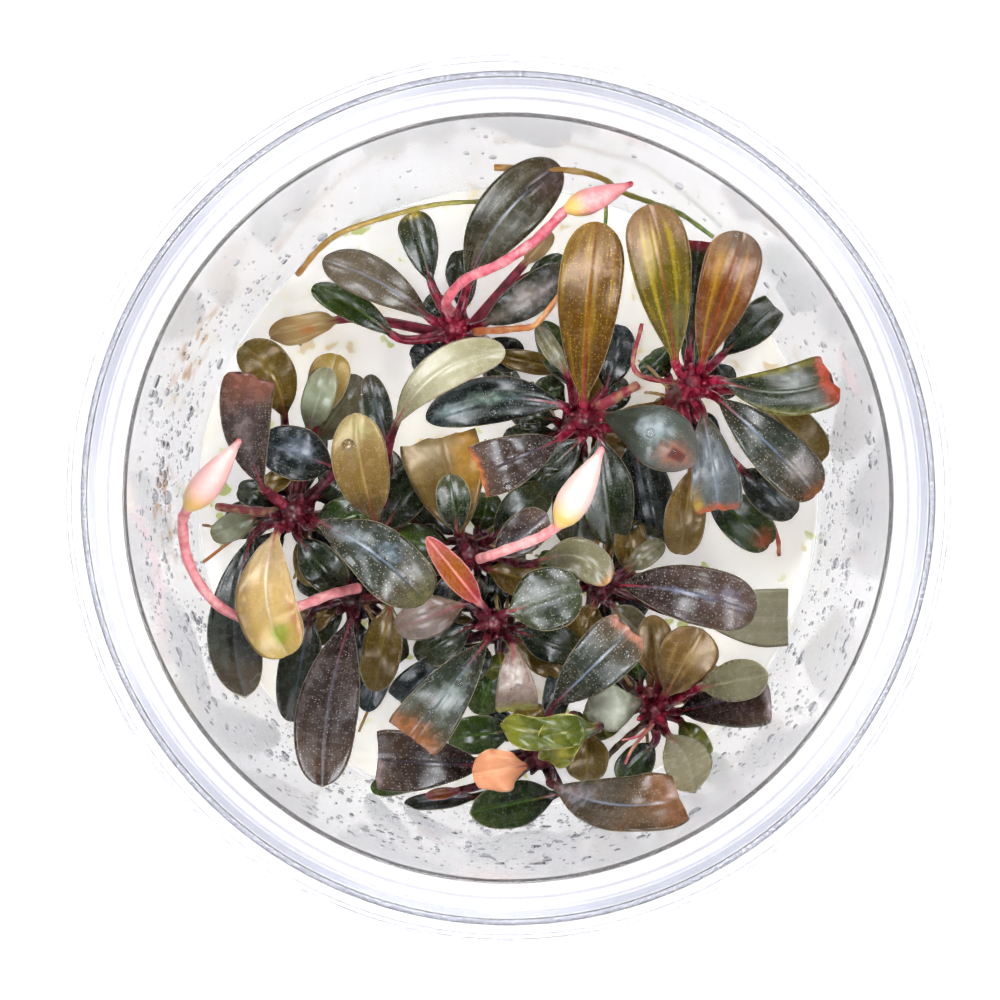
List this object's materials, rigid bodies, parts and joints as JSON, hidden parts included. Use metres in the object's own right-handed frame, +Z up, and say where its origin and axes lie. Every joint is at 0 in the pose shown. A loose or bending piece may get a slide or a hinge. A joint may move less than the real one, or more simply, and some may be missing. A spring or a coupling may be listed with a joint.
{
  "type": "aquarium plant in culture cup",
  "caption": "Small aquarium plants with dark strap-shaped leaves and pink flower spathes, rooted in clear gel in an open round clear plastic cup with a stepped rim.",
  "frame": {"origin": "centre of the underside of the cup's foot, on the surface it stands on", "axes": "+Z up along the cup's axis; +X to the right and +Y to the top of the picture, which looks straight down"},
  "size_m": [0.105, 0.105, 0.058],
  "materials": {
    "cup": "clear, glossy, fogged with small drops inside",
    "culture_gel": "cloudy clear jelly, wet",
    "rhizome": "dark red, satin",
    "leaf_dark": "dark green to blue-grey, leathery, glossy, with fine pale specks",
    "leaf_brown": "olive to orange-brown, leathery, satin, with fine yellow specks",
    "spathe": "pink with a yellow base, waxy"
  },
  "bodies": {
    "root": {"culture_gel": "culture_gel", "cup": "cup", "leaf_c_brown": "leaf_brown", "leaf_c_purple": "leaf_dark", "leaf_c_ribbed": "leaf_dark", "leaf_cs_large": "leaf_dark", "leaf_cs_lilac": "leaf_dark", "leaf_cs_new": "leaf_dark", "leaf_cs_round": "leaf_dark", "leaf_e_pale": "leaf_dark", "leaf_e_spotted": "leaf_dark", "leaf_mid_grey": "leaf_dark", "leaf_mid_khaki": "leaf_brown", "leaf_ne_amber": "leaf_brown", "leaf_ne_east": "leaf_dark", "leaf_ne_olive": "leaf_brown", "leaf_ne_red": "leaf_dark", "leaf_ne_south": "leaf_dark", "leaf_ne_spotted": "leaf_dark", "leaf_north_blue": "leaf_dark", "leaf_north_fold": "leaf_dark", "leaf_north_gloss": "leaf_dark", "leaf_north_ochre": "leaf_brown", "leaf_north_south": "leaf_dark", "leaf_nw_east": "leaf_dark", "leaf_nw_north": "leaf_dark", "leaf_nw_small": "leaf_dark", "leaf_nw_west": "leaf_dark", "leaf_s_blue": "leaf_dark", "leaf_s_cut": "leaf_dark", "leaf_s_dead": "leaf_brown", "leaf_s_green": "leaf_dark", "leaf_s_large": "leaf_dark", "leaf_se_cut": "leaf_dark", "leaf_se_khaki": "leaf_brown", "leaf_se_sage": "leaf_dark", "leaf_se_shine": "leaf_dark", "leaf_se_south": "leaf_dark", "leaf_sw_long": "leaf_dark", "leaf_sw_olive": "leaf_brown", "leaf_west_blue": "leaf_dark", "leaf_west_khaki": "leaf_brown", "leaf_west_slate": "leaf_dark", "leaf_west_torn": "leaf_brown", "leaf_wu_inner": "leaf_dark", "leaf_wu_olive": "leaf_brown", "rhizome_centre": "rhizome", "rhizome_centre_south": "rhizome", "rhizome_east": "rhizome", "rhizome_mid_west": "rhizome", "rhizome_north": "rhizome", "rhizome_north_east": "rhizome", "rhizome_north_west": "rhizome", "rhizome_south": "rhizome", "rhizome_south_east": "rhizome", "rhizome_south_west": "rhizome", "rhizome_west": "rhizome", "spathe_centre": "spathe", "spathe_north_west": "spathe", "spathe_west": "spathe"}
  },
  "joints": []
}
